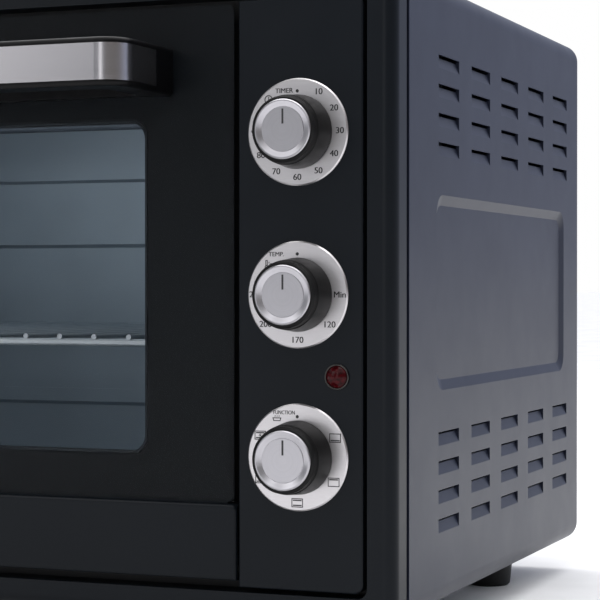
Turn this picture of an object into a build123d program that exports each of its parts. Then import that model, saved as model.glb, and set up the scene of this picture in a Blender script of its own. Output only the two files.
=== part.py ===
from build123d import *
import math
import os

# Counter-top toaster oven with a drop-down glass door on the left and a control bay on the right.
# Millimetres. +Z is up, the door faces -Y, +X is to the right of someone standing in front of it.
# The origin lies on the counter, under the middle of the whole oven including its handle.

os.makedirs("parts", exist_ok=True)

# ---------------------------------------------------------------- driving dimensions
HALF_WIDTH = 300.0          # casing, half of 600
BACK_Y = 244.5
FRONT_Y = -177.5            # plane of the control panel and the door glass
CASE_BOTTOM = 22.0          # height of the feet
CASE_TOP = 391.0
SHEET = 1.2                 # casing sheet
CASE_EDGE = 13.0            # rolled long edges of the casing

BEZEL_BACK = -157.8
BEZEL_EDGE = 7.5
OPENING_HALF = 283.65
OPENING_BOTTOM = 38.0
OPENING_TOP = 375.0
OPENING_CORNER = 6.0
PLATE_FRONT = -160.0        # front plate, behind door and control panel
PLATE_BACK = PLATE_FRONT + SHEET
CASING_FRONT = -153.0       # front edge of the side panels

PANEL_LEFT = 206.7
PANEL_RIGHT = 281.05
PANEL_BOTTOM = 40.8
PANEL_TOP = 372.1
PANEL_SHEET = 1.5

KNOB_X = 242.9
KNOB_MIDDLE_Z = 206.3
KNOB_PITCH = 90.8
KNOBS = {
    "timer": KNOB_MIDDLE_Z + KNOB_PITCH,
    "temp": KNOB_MIDDLE_Z,
    "function": KNOB_MIDDLE_Z - KNOB_PITCH,
}
DIAL_RADIUS = 30.0
DIAL_THICKNESS = 1.5
DIAL_BORE = 7.0
DIAL_CHAMFER = 0.7
DIAL_FRONT = FRONT_Y - DIAL_THICKNESS
SHAFT_RADIUS = 3.0
RUNNING = 0.05              # radial clearance of everything that turns
LAMP_X = 266.1
LAMP_Z = 160.8

CAVITY_LEFT = -262.0
CAVITY_RIGHT = 188.0
CAVITY_BOTTOM = 66.0
CAVITY_TOP = 346.0
CAVITY_BACK = 212.5
CAVITY_SHEET = 1.0
PARTITION_X = 199.0         # heat shield between cavity and control bay

DOOR_LEFT = -280.0
GLASS_RIGHT = 202.3
GLASS_BOTTOM = 88.5
GLASS_TOP = 370.9
GLASS_BACK = -173.7
PRINT_FRONT = -173.65       # a hair behind the glass
PRINT_BACK = -173.4
DOOR_FRAME_BACK = -162.0
WINDOW = (-225.8, 148.0, 113.2, 308.0)      # left, right, bottom, top of the clear window
WINDOW_CORNER = 10.0
RAIL_RIGHT = 205.4
RAIL_BOTTOM = 44.4
RAIL_TOP = 87.5
RAIL_FRONT = -179.0
RAIL_BACK = -163.0
HINGE_Y = -169.5
HINGE_Z = 49.7
PIN_RADIUS = 3.0
STAY_RADIUS = 60.0          # arc of the door stays about the hinge axis
STAY_WIDTH = 8.0
STAYS = {"left": -273.0, "right": 193.0}

HANDLE_LEFT = -243.7
HANDLE_RIGHT = 165.9
HANDLE_Z = 333.6
HANDLE_HEIGHT = 27.0
HANDLE_REACH = 67.0
HANDLE_BAR = 18.0
HANDLE_CORNER = 16.0
HANDLE_BASE = 6.0
HANDLE_ROUND = 2.5
HANDLE_GAP_CORNER = 7.0
TRIM_HEIGHT = 20.3
TRIM_THICKNESS = 1.0
TRIM_END_Y = FRONT_Y - 22.0
HANDLE_FRONT = FRONT_Y - HANDLE_REACH

RACK_Z = 177.0
RACK_FRONT = -132.5
RACK_BACK = 190.0
RACK_WIRE = 2.2             # radius of the frame wire
CROSS_WIRE = 1.7            # radius of the cross wires
CROSS_PITCH = 23.5
RIDGE_DEPTH = 5.0
RIDGE_HEIGHT = 6.0
RIDGE_PITCH = 55.0

HEATER_RADIUS = 3.4
HEATER_Y = (-60.0, 120.0)
UPPER_HEATER_Z = 331.0
LOWER_HEATER_Z = 84.0

FOOT_X = 260.0
FOOT_FRONT_Y = -130.0
FOOT_BACK_Y = 146.5
CORD_X = 238.0
CORD_Z = 66.0
CORD_RADIUS = 3.75


def at_x(x):
    """Plane facing +X whose sketch axes are Y and Z."""
    return Plane.YZ.offset(x)


def at_y(y):
    """Plane facing the front, -Y, whose sketch axes are X and Z."""
    return Plane.XZ.offset(-y)


def at_z(z):
    """Plane facing up whose sketch axes are X and Y."""
    return Plane.XY.offset(z)


def turned(x, y, z):
    """Plane for a turned profile: first axis forward from y, second axis the radius about an axis along Y."""
    return Plane(origin=(x, y, z), x_dir=(0, -1, 0), z_dir=(1, 0, 0))


def rect(left, right, bottom, top, radius=0.0, mode=Mode.ADD):
    """Rectangle in the current sketch, given by its edges."""
    with Locations(((left + right) / 2, (bottom + top) / 2)):
        if radius:
            RectangleRounded(right - left, top - bottom, radius, mode=mode)
        else:
            Rectangle(right - left, top - bottom, mode=mode)


def block(x0, x1, y0, y1, z0, z1, mode=Mode.ADD):
    """Box in the current part, given by its faces."""
    with Locations(((x0 + x1) / 2, (y0 + y1) / 2, (z0 + z1) / 2)):
        Box(x1 - x0, y1 - y0, z1 - z0, mode=mode)


def rod_x(x0, x1, y, z, radius, mode=Mode.ADD):
    """Cylinder along X in the current part."""
    with Locations(Location(((x0 + x1) / 2, y, z), (0, 90, 0))):
        Cylinder(radius, x1 - x0, mode=mode)


def rod_y(x, y0, y1, z, radius, mode=Mode.ADD):
    """Cylinder along Y in the current part."""
    with Locations(Location((x, (y0 + y1) / 2, z), (90, 0, 0))):
        Cylinder(radius, y1 - y0, mode=mode)


def rod_z(x, y, z0, z1, radius, mode=Mode.ADD):
    """Cylinder along Z in the current part."""
    with Locations((x, y, (z0 + z1) / 2)):
        Cylinder(radius, z1 - z0, mode=mode)


def save(piece, name):
    """Label a finished piece and write its file."""
    piece.part.label = name
    export_step(piece.part, f"parts/{name}.step")


# ---------------------------------------------------------------- casing
with BuildPart() as front_bezel:
    with BuildSketch(at_y(BEZEL_BACK)):
        rect(-HALF_WIDTH, HALF_WIDTH, CASE_BOTTOM, CASE_TOP, CASE_EDGE)
    extrude(amount=BEZEL_BACK - FRONT_Y)
    fillet(front_bezel.faces().sort_by(Axis.Y)[0].edges(), BEZEL_EDGE)
    with BuildSketch(at_y(BEZEL_BACK)):
        rect(-OPENING_HALF, OPENING_HALF, OPENING_BOTTOM, OPENING_TOP, OPENING_CORNER)
    extrude(amount=BEZEL_BACK - FRONT_Y, mode=Mode.SUBTRACT)
    # hollow back, whose inner return stops on the front plate
    with BuildSketch(at_y(BEZEL_BACK)):
        rect(-HALF_WIDTH + SHEET, HALF_WIDTH - SHEET, CASE_BOTTOM + SHEET, CASE_TOP - SHEET,
             CASE_EDGE - SHEET)
        rect(-OPENING_HALF - SHEET, OPENING_HALF + SHEET, OPENING_BOTTOM - SHEET, OPENING_TOP + SHEET,
             OPENING_CORNER, mode=Mode.SUBTRACT)
    extrude(amount=BEZEL_BACK - FRONT_Y - BEZEL_EDGE - SHEET, mode=Mode.SUBTRACT)
    with BuildSketch(at_y(BEZEL_BACK)):
        rect(-HALF_WIDTH + SHEET, HALF_WIDTH - SHEET, CASE_BOTTOM + SHEET, CASE_TOP - SHEET,
             CASE_EDGE - SHEET)
    extrude(amount=BEZEL_BACK - PLATE_FRONT, mode=Mode.SUBTRACT)
save(front_bezel, "front_bezel")

PLATE_GAP = 2.6             # front plate's distance inside the casing
PLATE_FLANGE_BACK = -140.0
PLATE_CORNER = 8.0
PLATE_SHAFT_HOLE = 5.6
PLATE_LAMP_HOLE = 6.5
STAY_SLOT_Z = HINGE_Z + STAY_RADIUS
BRACKET_EAR = (-283.2, -281.4)
BRACKET_HALF = 7.6
BRACKET_PLAY = 0.2
with BuildPart() as front_plate:
    with BuildSketch(at_y(PLATE_FLANGE_BACK)):
        rect(-HALF_WIDTH + PLATE_GAP, HALF_WIDTH - PLATE_GAP, CASE_BOTTOM + PLATE_GAP, CASE_TOP - PLATE_GAP,
             PLATE_CORNER)
    extrude(amount=PLATE_FLANGE_BACK - PLATE_FRONT)
    with BuildSketch(at_y(PLATE_FLANGE_BACK)):
        rect(-HALF_WIDTH + PLATE_GAP + SHEET, HALF_WIDTH - PLATE_GAP - SHEET,
             CASE_BOTTOM + PLATE_GAP + SHEET, CASE_TOP - PLATE_GAP - SHEET, PLATE_CORNER - SHEET)
    extrude(amount=PLATE_FLANGE_BACK - PLATE_BACK, mode=Mode.SUBTRACT)
    with BuildSketch(at_y(PLATE_BACK)):
        rect(CAVITY_LEFT, CAVITY_RIGHT, CAVITY_BOTTOM, CAVITY_TOP)
        for knob_z in KNOBS.values():
            with Locations((KNOB_X, knob_z)):
                Circle(PLATE_SHAFT_HOLE)
        with Locations((LAMP_X, LAMP_Z)):
            Circle(PLATE_LAMP_HOLE)
        for stay_x in STAYS.values():
            rect(stay_x - 1.5, stay_x + 3.5, STAY_SLOT_Z - 8.0, STAY_SLOT_Z + 6.5)
        rect(BRACKET_EAR[0] - BRACKET_PLAY, BRACKET_EAR[1] + BRACKET_PLAY,
             HINGE_Z - BRACKET_HALF - BRACKET_PLAY, HINGE_Z + BRACKET_HALF + BRACKET_PLAY)
    extrude(amount=SHEET, mode=Mode.SUBTRACT)
save(front_plate, "front_plate")

# Louvre: a flap pressed inwards from its lower edge, open along its top, with closed cheeks.
# Modelled at X = HALF_WIDTH, with its middle on the X axis.
LOUVRE_LENGTH = 41.0
LOUVRE_HEIGHT = 8.0
LOUVRE_DEPTH = 2.1
LOUVRE_SLIT = 1.6           # open height above the flap
LOUVRE_LAP = 1.0            # the flap starts this far below the cut
LOUVRE_CHEEK = 0.8
LOUVRE_PITCH_Y = 67.3
LOUVRE_PITCH_Z = 17.05
LOUVRE_MIDDLE_Y = 56.5
LOUVRE_ROWS_Z = (317.1, 95.9)
with BuildPart() as louvre:
    with BuildSketch(at_y(LOUVRE_LENGTH / 2)):
        with BuildLine():
            Polyline(
                (HALF_WIDTH, -LOUVRE_HEIGHT / 2),
                (HALF_WIDTH - LOUVRE_DEPTH, LOUVRE_HEIGHT / 2 - LOUVRE_SLIT),
                (HALF_WIDTH - LOUVRE_DEPTH - SHEET, LOUVRE_HEIGHT / 2 - LOUVRE_SLIT),
                (HALF_WIDTH - SHEET, -LOUVRE_HEIGHT / 2 - LOUVRE_LAP),
                (HALF_WIDTH, -LOUVRE_HEIGHT / 2 - LOUVRE_LAP),
                close=True,
            )
        make_face()
    extrude(amount=LOUVRE_LENGTH)
    with BuildSketch(at_y(LOUVRE_LENGTH / 2 + LOUVRE_CHEEK), at_y(-LOUVRE_LENGTH / 2)):
        with BuildLine():
            Polyline(
                (HALF_WIDTH - 0.4, -LOUVRE_HEIGHT / 2 - 0.8),
                (HALF_WIDTH - LOUVRE_DEPTH - SHEET, LOUVRE_HEIGHT / 2 - LOUVRE_SLIT),
                (HALF_WIDTH - 0.4, LOUVRE_HEIGHT / 2 + 0.3),
                close=True,
            )
        make_face()
    extrude(amount=LOUVRE_CHEEK)

EMBOSS_Y = (-102.6, 202.8)
EMBOSS_Z = (149.9, 264.6)
EMBOSS_SLOPE = 6.0
EMBOSS_DEPTH = 2.2
EMBOSS_CORNER = 12.0
EMBOSS_FLOOR_CORNER = 9.0
LOUVRE_PLACES = [
    (0, LOUVRE_MIDDLE_Y + column * LOUVRE_PITCH_Y, middle_z + row * LOUVRE_PITCH_Z)
    for middle_z in LOUVRE_ROWS_Z
    for column in (-2, -1, 0, 1, 2)
    for row in (-1.5, -0.5, 0.5, 1.5)
]
LIP_X = 286.0               # the rolled edges end here and meet the top and the base
with BuildPart() as side_panel_right:
    with BuildSketch(at_y(BACK_Y)):
        rect(-HALF_WIDTH, HALF_WIDTH, CASE_BOTTOM, CASE_TOP, CASE_EDGE)
        rect(-HALF_WIDTH + SHEET, HALF_WIDTH - SHEET, CASE_BOTTOM + SHEET, CASE_TOP - SHEET,
             CASE_EDGE - SHEET,
             mode=Mode.SUBTRACT)
        rect(-HALF_WIDTH, LIP_X, CASE_BOTTOM, CASE_TOP, mode=Mode.SUBTRACT)
    extrude(amount=BACK_Y - CASING_FRONT)
    with BuildSketch(at_x(HALF_WIDTH - SHEET)):
        rect(*EMBOSS_Y, *EMBOSS_Z, EMBOSS_CORNER)
    with BuildSketch(at_x(HALF_WIDTH - SHEET - EMBOSS_DEPTH)):
        rect(EMBOSS_Y[0] + EMBOSS_SLOPE, EMBOSS_Y[1] - EMBOSS_SLOPE,
             EMBOSS_Z[0] + EMBOSS_SLOPE, EMBOSS_Z[1] - EMBOSS_SLOPE, EMBOSS_FLOOR_CORNER)
    loft()
    with BuildSketch(at_x(HALF_WIDTH)):
        rect(*EMBOSS_Y, *EMBOSS_Z, EMBOSS_CORNER)
    with BuildSketch(at_x(HALF_WIDTH - EMBOSS_DEPTH)):
        rect(EMBOSS_Y[0] + EMBOSS_SLOPE, EMBOSS_Y[1] - EMBOSS_SLOPE,
             EMBOSS_Z[0] + EMBOSS_SLOPE, EMBOSS_Z[1] - EMBOSS_SLOPE, EMBOSS_FLOOR_CORNER)
    loft(mode=Mode.SUBTRACT)
    with BuildSketch(at_x(HALF_WIDTH - 2 * SHEET)):
        with Locations(*[(y, z) for x, y, z in LOUVRE_PLACES]):
            Rectangle(LOUVRE_LENGTH, LOUVRE_HEIGHT)
    extrude(amount=3 * SHEET, mode=Mode.SUBTRACT)
    with Locations(*LOUVRE_PLACES):
        add(louvre.part)
save(side_panel_right, "side_panel_right")

with BuildPart() as side_panel_left:
    mirror(side_panel_right.part, about=Plane.YZ)
save(side_panel_left, "side_panel_left")

COVER_X = LIP_X - 0.2
COVER_FLANGE = 9.0
COVER_FLANGE_Y = (-136.0, 226.0)
TOP_FIELD = (-244.0, 244.0, -105.0, 197.0)          # recessed field of the top, left, right, front, back
REAR_COVER_Y = 241.8        # front face of the rear cover's sheet
with BuildPart() as top_cover:
    block(-COVER_X, COVER_X, CASING_FRONT, BACK_Y, CASE_TOP - SHEET, CASE_TOP)
    for side in (-1, 1):
        inner = side * (COVER_X - SHEET)
        outer = side * COVER_X
        block(min(inner, outer), max(inner, outer), *COVER_FLANGE_Y, CASE_TOP - COVER_FLANGE, CASE_TOP)
    with BuildSketch(at_z(CASE_TOP - SHEET)):
        rect(*TOP_FIELD, EMBOSS_CORNER)
    with BuildSketch(at_z(CASE_TOP - SHEET - EMBOSS_DEPTH)):
        rect(TOP_FIELD[0] + EMBOSS_SLOPE, TOP_FIELD[1] - EMBOSS_SLOPE,
             TOP_FIELD[2] + EMBOSS_SLOPE, TOP_FIELD[3] - EMBOSS_SLOPE, EMBOSS_FLOOR_CORNER)
    loft()
    with BuildSketch(at_z(CASE_TOP)):
        rect(*TOP_FIELD, EMBOSS_CORNER)
    with BuildSketch(at_z(CASE_TOP - EMBOSS_DEPTH)):
        rect(TOP_FIELD[0] + EMBOSS_SLOPE, TOP_FIELD[1] - EMBOSS_SLOPE,
             TOP_FIELD[2] + EMBOSS_SLOPE, TOP_FIELD[3] - EMBOSS_SLOPE, EMBOSS_FLOOR_CORNER)
    loft(mode=Mode.SUBTRACT)
save(top_cover, "top_cover")

REAR_X = 297.0
REAR_Z = (25.0, 388.0)
REAR_FLANGE_FRONT = 228.0
REAR_CORNER = 10.0
REAR_SCREW_X = (-286.0, -95.0, 95.0, 286.0)
REAR_SCREW_HOLE = 2.2
SPACER_MIDDLE = (-40.0, 206.5)
SPACER_SIZE = (300.0, 190.0)
SPACER_STEP = 5.0
SPACER_CORNER = 14.0
VENT_SLOT = (20.0, 4.0)
VENT_PITCH = (26.0, 13.0)
CAVITY_VENTS = ((-40.0, 340.0), (-40.0, 73.0))
BAY_VENTS = (243.0, 208.0)
GLAND_HOLE = 8.0
REAR_SCREWS = [
    (x, z) for z in (REAR_Z[0] + 9.0, REAR_Z[1] - 9.0) for x in REAR_SCREW_X
]
with BuildPart() as rear_cover:
    with BuildSketch(at_y(REAR_COVER_Y + SHEET)):
        rect(-REAR_X, REAR_X, *REAR_Z, REAR_CORNER)
    extrude(amount=REAR_COVER_Y + SHEET - REAR_FLANGE_FRONT)
    with BuildSketch(at_y(REAR_COVER_Y)):
        rect(-REAR_X + SHEET, REAR_X - SHEET, REAR_Z[0] + SHEET, REAR_Z[1] - SHEET, REAR_CORNER - SHEET)
    extrude(amount=REAR_COVER_Y - REAR_FLANGE_FRONT, mode=Mode.SUBTRACT)
    # raised spacer field that keeps the hot back off a wall
    with BuildSketch(at_y(REAR_COVER_Y + SHEET)):
        with Locations(SPACER_MIDDLE):
            RectangleRounded(*SPACER_SIZE, SPACER_CORNER)
            RectangleRounded(SPACER_SIZE[0] - 2 * SPACER_STEP, SPACER_SIZE[1] - 2 * SPACER_STEP,
                             SPACER_CORNER - SPACER_STEP, mode=Mode.SUBTRACT)
    extrude(amount=-SHEET)
    with BuildSketch(at_y(REAR_COVER_Y + 2 * SHEET)):
        with Locations(*CAVITY_VENTS):
            with GridLocations(*VENT_PITCH, 12, 3):
                SlotOverall(*VENT_SLOT)
        with Locations(BAY_VENTS):
            with GridLocations(*VENT_PITCH, 3, 10):
                SlotOverall(*VENT_SLOT)
        with Locations((CORD_X, CORD_Z)):
            Circle(GLAND_HOLE)
        with Locations(*REAR_SCREWS):
            Circle(REAR_SCREW_HOLE)
    extrude(amount=3 * SHEET, mode=Mode.SUBTRACT)
save(rear_cover, "rear_cover")

SCREW_HEAD = 1.5
CROSS_HALF = 2.4            # half length and half width of the cross recess of a screw
CROSS_SLOT = 0.45
with BuildPart() as rear_screws:
    for screw_x, screw_z in REAR_SCREWS:
        rod_y(screw_x, REAR_COVER_Y + SHEET, REAR_COVER_Y + SHEET + SCREW_HEAD, screw_z, 3.6)
        rod_y(screw_x, REAR_COVER_Y - 8.0, REAR_COVER_Y + SHEET + 0.5, screw_z, 1.9)
        block(screw_x - CROSS_HALF, screw_x + CROSS_HALF, REAR_COVER_Y + 2.0, BACK_Y + 1.0,
              screw_z - CROSS_SLOT, screw_z + CROSS_SLOT, mode=Mode.SUBTRACT)
        block(screw_x - CROSS_SLOT, screw_x + CROSS_SLOT, REAR_COVER_Y + 2.0, BACK_Y + 1.0,
              screw_z - CROSS_HALF, screw_z + CROSS_HALF, mode=Mode.SUBTRACT)
save(rear_screws, "rear_screws")

FEET = {
    "foot_front_left": (-FOOT_X, FOOT_FRONT_Y),
    "foot_front_right": (FOOT_X, FOOT_FRONT_Y),
    "foot_rear_left": (-FOOT_X, FOOT_BACK_Y),
    "foot_rear_right": (FOOT_X, FOOT_BACK_Y),
}
FOOT_HOLE = 2.2
BASE_SLOT = (28.0, 5.0)
BASE_PITCH = (36.0, 14.0)
with BuildPart() as base_plate:
    block(-COVER_X, COVER_X, CASING_FRONT + 14.0, REAR_FLANGE_FRONT - 1.0, CASE_BOTTOM, CASE_BOTTOM + SHEET)
    with BuildSketch(at_z(CASE_BOTTOM)):
        with Locations(*FEET.values()):
            Circle(FOOT_HOLE)
        with Locations((-150.0, 40.0), (100.0, 40.0)):
            with GridLocations(*BASE_PITCH, 4, 12):
                SlotOverall(*BASE_SLOT)
        with Locations((243.0, 30.0)):
            with GridLocations(*BASE_PITCH, 1, 6):
                SlotOverall(*BASE_SLOT)
    extrude(amount=SHEET, mode=Mode.SUBTRACT)
save(base_plate, "base_plate")

FOOT_BOTTOM_RADIUS = 15.0
FOOT_TOP_RADIUS = 17.0
FOOT_RECESS_RADIUS = 5.5
FOOT_RECESS_DEPTH = 13.0
FOOT_COLLAR_Z = 15.0
for foot_name, (foot_x, foot_y) in FEET.items():
    with BuildPart() as foot:
        with BuildSketch(Plane(origin=(foot_x, foot_y, 0), x_dir=(1, 0, 0), z_dir=(0, -1, 0))):
            with BuildLine():
                Polyline(
                    (FOOT_HOLE, CASE_BOTTOM),
                    (FOOT_HOLE, FOOT_RECESS_DEPTH),
                    (FOOT_RECESS_RADIUS, FOOT_RECESS_DEPTH),
                    (FOOT_RECESS_RADIUS, 0),
                    (FOOT_BOTTOM_RADIUS - 1.5, 0),
                    (FOOT_BOTTOM_RADIUS, 1.5),
                    (FOOT_TOP_RADIUS - 0.6, FOOT_COLLAR_Z),
                    (FOOT_TOP_RADIUS, FOOT_COLLAR_Z + 1.0),
                    (FOOT_TOP_RADIUS, CASE_BOTTOM),
                    close=True,
                )
            make_face()
        revolve(axis=Axis((foot_x, foot_y, 0), (0, 0, 1)))
    save(foot, foot_name)

with BuildPart() as foot_screws:
    for screw_x, screw_y in FEET.values():
        rod_z(screw_x, screw_y, FOOT_RECESS_DEPTH - 2.4, FOOT_RECESS_DEPTH, 3.8)
        rod_z(screw_x, screw_y, FOOT_RECESS_DEPTH - 0.5, CASE_BOTTOM + 7.0, 1.95)
        block(screw_x - 2.4, screw_x + 2.4, screw_y - 0.5, screw_y + 0.5, FOOT_RECESS_DEPTH - 3.0,
              FOOT_RECESS_DEPTH - 1.4, mode=Mode.SUBTRACT)
save(foot_screws, "foot_screws")

PARTITION_FLANGE = 12.0
PARTITION_SLOT = (22.0, 4.0)
with BuildPart() as bay_partition:
    block(PARTITION_X, PARTITION_X + CAVITY_SHEET, PLATE_FLANGE_BACK, REAR_FLANGE_FRONT - 1.0,
          CASE_BOTTOM + SHEET, CASE_TOP - 2 * SHEET - EMBOSS_DEPTH)
    block(PARTITION_X, PARTITION_X + PARTITION_FLANGE, PLATE_FLANGE_BACK, REAR_FLANGE_FRONT - 1.0,
          CASE_BOTTOM + SHEET, CASE_BOTTOM + 2 * SHEET)
    with BuildSketch(at_x(PARTITION_X - 1.0)):
        with Locations((60.0, 300.0), (60.0, 110.0)):
            with GridLocations(30.0, 12.0, 7, 3):
                SlotOverall(*PARTITION_SLOT)
    extrude(amount=4.0, mode=Mode.SUBTRACT)
save(bay_partition, "bay_partition")

# ---------------------------------------------------------------- oven cavity
with BuildPart() as cavity_floor:
    block(CAVITY_LEFT, CAVITY_RIGHT, PLATE_BACK, CAVITY_BACK, CAVITY_BOTTOM - CAVITY_SHEET, CAVITY_BOTTOM)
save(cavity_floor, "cavity_floor")

ROOF_RIDGES_Y = (-105.0, 30.0, 165.0)
ROOF_RIDGE_HALF = 5.0
ROOF_RIDGE_HEIGHT = 3.0
ROOF_RIDGE_INSET = 25.0
with BuildPart() as cavity_roof:
    block(CAVITY_LEFT, CAVITY_RIGHT, PLATE_BACK, CAVITY_BACK, CAVITY_TOP, CAVITY_TOP + CAVITY_SHEET)
    for ridge_y in ROOF_RIDGES_Y:
        for wall, ridge_mode in ((0.0, Mode.ADD), (CAVITY_SHEET, Mode.SUBTRACT)):
            inset = ROOF_RIDGE_INSET + wall
            half = ROOF_RIDGE_HALF - wall
            block(CAVITY_LEFT + inset, CAVITY_RIGHT - inset, ridge_y - half, ridge_y + half,
                  CAVITY_TOP, CAVITY_TOP + ROOF_RIDGE_HEIGHT - wall, mode=ridge_mode)
save(cavity_roof, "cavity_roof")

BAND_LEFT = CAVITY_LEFT + 30.0
BAND_RIGHT = CAVITY_RIGHT - 30.0
BANDS = ((115.5, 165.5, 131.5), (241.5, 296.5, 277.5))      # bottom, top and groove of each pressed band
BAND_DEPTH = 4.0
BAND_CORNER = 16.0
BAND_SLOPE = 35             # degrees
with BuildPart() as cavity_back_wall:
    block(CAVITY_LEFT, CAVITY_RIGHT, CAVITY_BACK, CAVITY_BACK + CAVITY_SHEET, CAVITY_BOTTOM, CAVITY_TOP)
    for band_bottom, band_top, groove_z in BANDS:
        with BuildSketch(at_y(CAVITY_BACK + 0.2)):
            rect(BAND_LEFT, BAND_RIGHT, band_bottom, band_top, BAND_CORNER)
        extrude(amount=BAND_DEPTH + 0.2, taper=BAND_SLOPE)
        with BuildSketch(at_y(CAVITY_BACK + CAVITY_SHEET)):
            rect(BAND_LEFT, BAND_RIGHT, band_bottom, band_top, BAND_CORNER)
        extrude(amount=BAND_DEPTH, taper=BAND_SLOPE, mode=Mode.SUBTRACT)
        with BuildSketch(at_y(CAVITY_BACK - BAND_DEPTH + 0.5)):
            with Locations(((BAND_LEFT + BAND_RIGHT) / 2, groove_z)):
                SlotOverall(BAND_RIGHT - BAND_LEFT - 40.0, 5.0)
        extrude(amount=1.0, mode=Mode.SUBTRACT)
save(cavity_back_wall, "cavity_back_wall")

HEATER_HOLE = 7.0
RIDGES_Z = [RACK_Z - RACK_WIRE - 0.3 - RIDGE_HEIGHT / 2 + level * RIDGE_PITCH for level in (-1, 0, 1, 2)]
SENSOR_X = CAVITY_RIGHT - 7.0
SENSOR_Z = 318.0
SENSOR_WALL_Y = -95.0
SENSOR_HOLE = 4.0
RIDGE_MIDDLE_Y = 35.0
RIDGE_LENGTH = 320.0
for wall_name, wall_x, inward in (
    ("cavity_left_wall", CAVITY_LEFT, 1),
    ("cavity_right_wall", CAVITY_RIGHT, -1),
):
    with BuildPart() as cavity_wall:
        outside = wall_x - inward * CAVITY_SHEET
        block(min(wall_x, outside), max(wall_x, outside), PLATE_BACK, CAVITY_BACK + CAVITY_SHEET,
              CAVITY_BOTTOM - CAVITY_SHEET, CAVITY_TOP + CAVITY_SHEET)
        for ridge_z in RIDGES_Z:
            with BuildSketch(at_x(outside + inward * 0.5)):
                with Locations((RIDGE_MIDDLE_Y, ridge_z)):
                    SlotOverall(RIDGE_LENGTH, RIDGE_HEIGHT)
            extrude(amount=inward * (RIDGE_DEPTH + 0.5))
            with BuildSketch(at_x(outside)):
                with Locations((RIDGE_MIDDLE_Y, ridge_z)):
                    SlotOverall(RIDGE_LENGTH - 2 * CAVITY_SHEET, RIDGE_HEIGHT - 2 * CAVITY_SHEET)
            extrude(amount=inward * RIDGE_DEPTH, mode=Mode.SUBTRACT)
        with BuildSketch(at_x(outside - inward)):
            with Locations(*[(y, z) for y in HEATER_Y for z in (UPPER_HEATER_Z, LOWER_HEATER_Z)]):
                Circle(HEATER_HOLE)
            if wall_name == "cavity_right_wall":
                with Locations((SENSOR_WALL_Y, SENSOR_Z)):
                    Circle(SENSOR_HOLE)
        extrude(amount=inward * 4 * CAVITY_SHEET, mode=Mode.SUBTRACT)
    save(cavity_wall, wall_name)

HEATER_ENDS = (CAVITY_LEFT - 10.0, CAVITY_RIGHT + 9.0)
for heater_name, heater_z in (("upper_heaters", UPPER_HEATER_Z), ("lower_heaters", LOWER_HEATER_Z)):
    with BuildPart() as heaters:
        for heater_y in HEATER_Y:
            rod_x(*HEATER_ENDS, heater_y, heater_z, HEATER_RADIUS)
    save(heaters, heater_name)

INSULATOR_FLANGE = 9.5
with BuildPart() as heater_insulators:
    for heater_y in HEATER_Y:
        for heater_z in (UPPER_HEATER_Z, LOWER_HEATER_Z):
            for wall_x, outward in ((CAVITY_LEFT, -1), (CAVITY_RIGHT, 1)):
                collar = sorted((wall_x - outward * 4.0, wall_x + outward * 7.0))
                flange = sorted((wall_x, wall_x - outward * 2.0))
                rod_x(*collar, heater_y, heater_z, HEATER_HOLE - 0.05)
                rod_x(*flange, heater_y, heater_z, INSULATOR_FLANGE)
            rod_x(CAVITY_LEFT - 30.0, CAVITY_RIGHT + 30.0, heater_y, heater_z, HEATER_RADIUS,
                  mode=Mode.SUBTRACT)
save(heater_insulators, "heater_insulators")

SENSOR_RADIUS = 2.5
with BuildPart() as sensor_bulb:
    with BuildLine() as sensor_path:
        FilletPolyline(
            (SENSOR_X, 40.0, SENSOR_Z),
            (SENSOR_X, SENSOR_WALL_Y, SENSOR_Z),
            (CAVITY_RIGHT + 8.0, SENSOR_WALL_Y, SENSOR_Z),
            radius=5.0,
        )
    with BuildSketch(Plane(origin=sensor_path.line @ 0, z_dir=sensor_path.line % 0)):
        Circle(SENSOR_RADIUS)
    sweep()
save(sensor_bulb, "sensor_bulb")

RACK_SIDE_GAP = 1.4
RACK_LEFT = CAVITY_LEFT + RACK_SIDE_GAP + RACK_WIRE
RACK_RIGHT = CAVITY_RIGHT - RACK_SIDE_GAP - RACK_WIRE
RACK_CORNER = 16.0
CROSS_COUNT = 18
RACK_BARS_Y = (-25.0, 85.0)
CROSS_Z = RACK_Z + RACK_WIRE + CROSS_WIRE - 0.6
with BuildPart() as wire_rack:
    with BuildLine() as rack_path:
        FilletPolyline(
            (RACK_RIGHT, RACK_FRONT, RACK_Z),
            (RACK_RIGHT, RACK_BACK, RACK_Z),
            (RACK_LEFT, RACK_BACK, RACK_Z),
            (RACK_LEFT, RACK_FRONT, RACK_Z),
            radius=RACK_CORNER,
            close=True,
        )
    with BuildSketch(Plane(origin=rack_path.line @ 0, z_dir=rack_path.line % 0)):
        Circle(RACK_WIRE)
    sweep()
    for bar_y in RACK_BARS_Y:
        rod_x(RACK_LEFT, RACK_RIGHT, bar_y, RACK_Z, RACK_WIRE)
    for wire in range(CROSS_COUNT):
        wire_x = (RACK_LEFT + RACK_RIGHT) / 2 + (wire - (CROSS_COUNT - 1) / 2) * CROSS_PITCH
        rod_y(wire_x, RACK_FRONT - 1.6, RACK_BACK + 1.6, CROSS_Z, CROSS_WIRE)
save(wire_rack, "wire_rack")

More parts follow.
